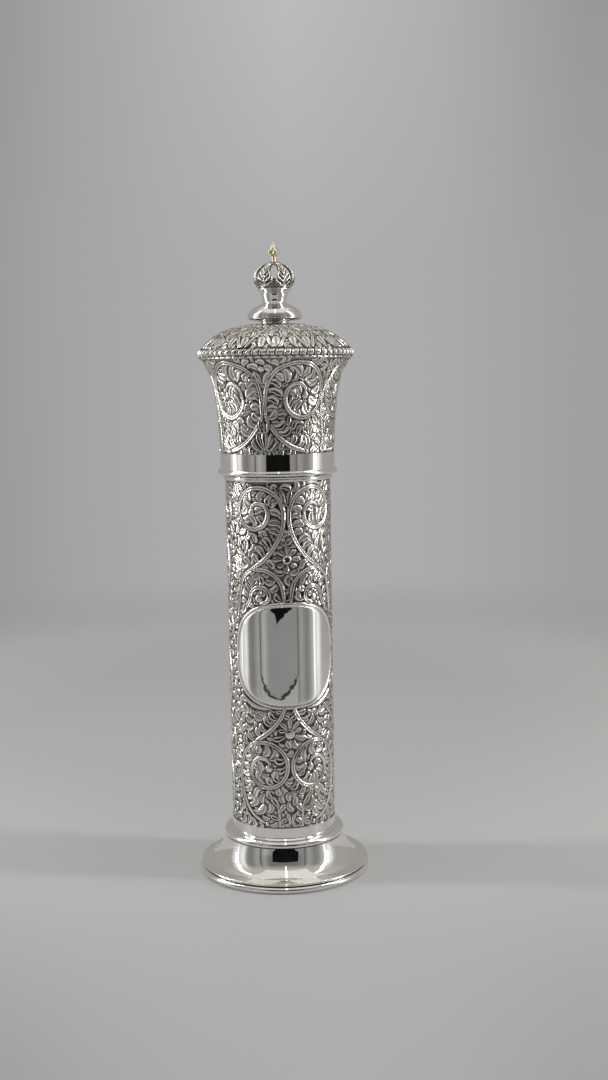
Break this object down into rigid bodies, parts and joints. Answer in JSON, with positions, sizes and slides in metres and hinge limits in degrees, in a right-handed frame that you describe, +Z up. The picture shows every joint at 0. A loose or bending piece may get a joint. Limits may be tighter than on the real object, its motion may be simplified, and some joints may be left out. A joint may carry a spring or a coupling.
{
  "type": "megillah case",
  "caption": "Upright silver scroll case: a round foot, a chased tube with a plain cartouche, a flared lift-off lid with a leafy rim, a domed top, a knob, an openwork crown and a gilt bud.",
  "frame": {"origin": "centre of the circle that the foot stands on, on the surface it stands on", "axes": "+Z up along the axis of the case, -Y towards the front cartouche"},
  "size_m": [0.0994, 0.0994, 0.359],
  "materials": {
    "polished_silver": "polished sterling silver, slightly warm, lightly worn",
    "chased_silver": "chased sterling silver, bright on the crests and oxidised nearly black in the recesses",
    "gilt": "pale silver-gilt, soft polish"
  },
  "bodies": {
    "root": {"foot": "polished_silver", "scroll_tube": "chased_silver", "tube_wire": "polished_silver", "lid_wire": "polished_silver", "lid_skirt": "chased_silver", "lid_rim": "chased_silver", "lid_dome": "chased_silver", "knob": "polished_silver", "crown": "chased_silver", "bud": "gilt"}
  },
  "joints": []
}
